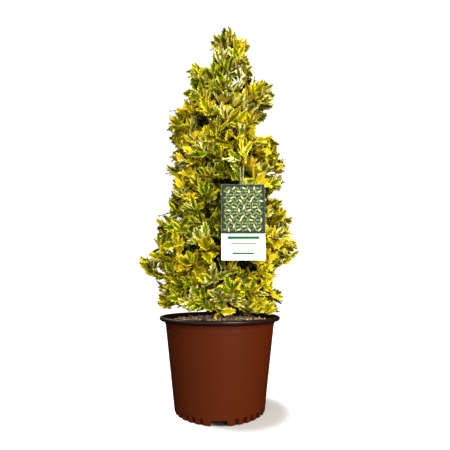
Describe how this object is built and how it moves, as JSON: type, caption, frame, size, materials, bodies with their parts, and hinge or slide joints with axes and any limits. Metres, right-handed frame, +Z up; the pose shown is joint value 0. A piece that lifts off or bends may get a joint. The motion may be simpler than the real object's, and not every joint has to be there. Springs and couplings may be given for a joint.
{
  "type": "potted shrub",
  "caption": "Holly shrub with gold-edged spiny leaves, grown to a narrow cone in a round brown nursery pot, with a hanging tag.",
  "frame": {"origin": "on the ground at the axis of the pot, in the middle of its flat underside", "axes": "+Z up along the trunk, +X to the right of the pictured front, and the front, with the tag, faces -Y"},
  "size_m": [0.3758, 0.3315, 0.9529],
  "materials": {
    "pot": "moulded brown plastic with a soft sheen",
    "soil": "dry bark mulch and potting mix",
    "bark": "smooth grey-brown bark",
    "foliage": "glossy green leaves with golden and cream edges",
    "tag": "printed plastic card on a thin loop"
  },
  "bodies": {
    "root": {"pot": "pot", "soil": "soil", "trunk": "bark", "bough_01": "bark", "bough_02": "bark", "bough_03": "bark", "bough_04": "bark", "bough_05": "bark", "bough_06": "bark", "bough_07": "bark", "bough_08": "bark", "bough_09": "bark", "bough_10": "bark", "bough_11": "bark", "bough_12": "bark", "bough_13": "bark", "bough_14": "bark", "bough_15": "bark", "bough_16": "bark", "bough_17": "bark", "bough_18": "bark", "bough_19": "bark", "bough_20": "bark", "mass_01": "foliage", "mass_02": "foliage", "mass_03": "foliage", "mass_04": "foliage", "mass_05": "foliage", "mass_06": "foliage", "mass_07": "foliage", "mass_08": "foliage", "mass_09": "foliage", "mass_10": "foliage", "mass_11": "foliage", "mass_12": "foliage", "mass_13": "foliage", "mass_14": "foliage", "mass_15": "foliage", "mass_16": "foliage", "mass_17": "foliage", "mass_18": "foliage", "mass_19": "foliage", "mass_20": "foliage", "mass_top": "foliage", "hang_tag": "tag"}
  },
  "joints": []
}
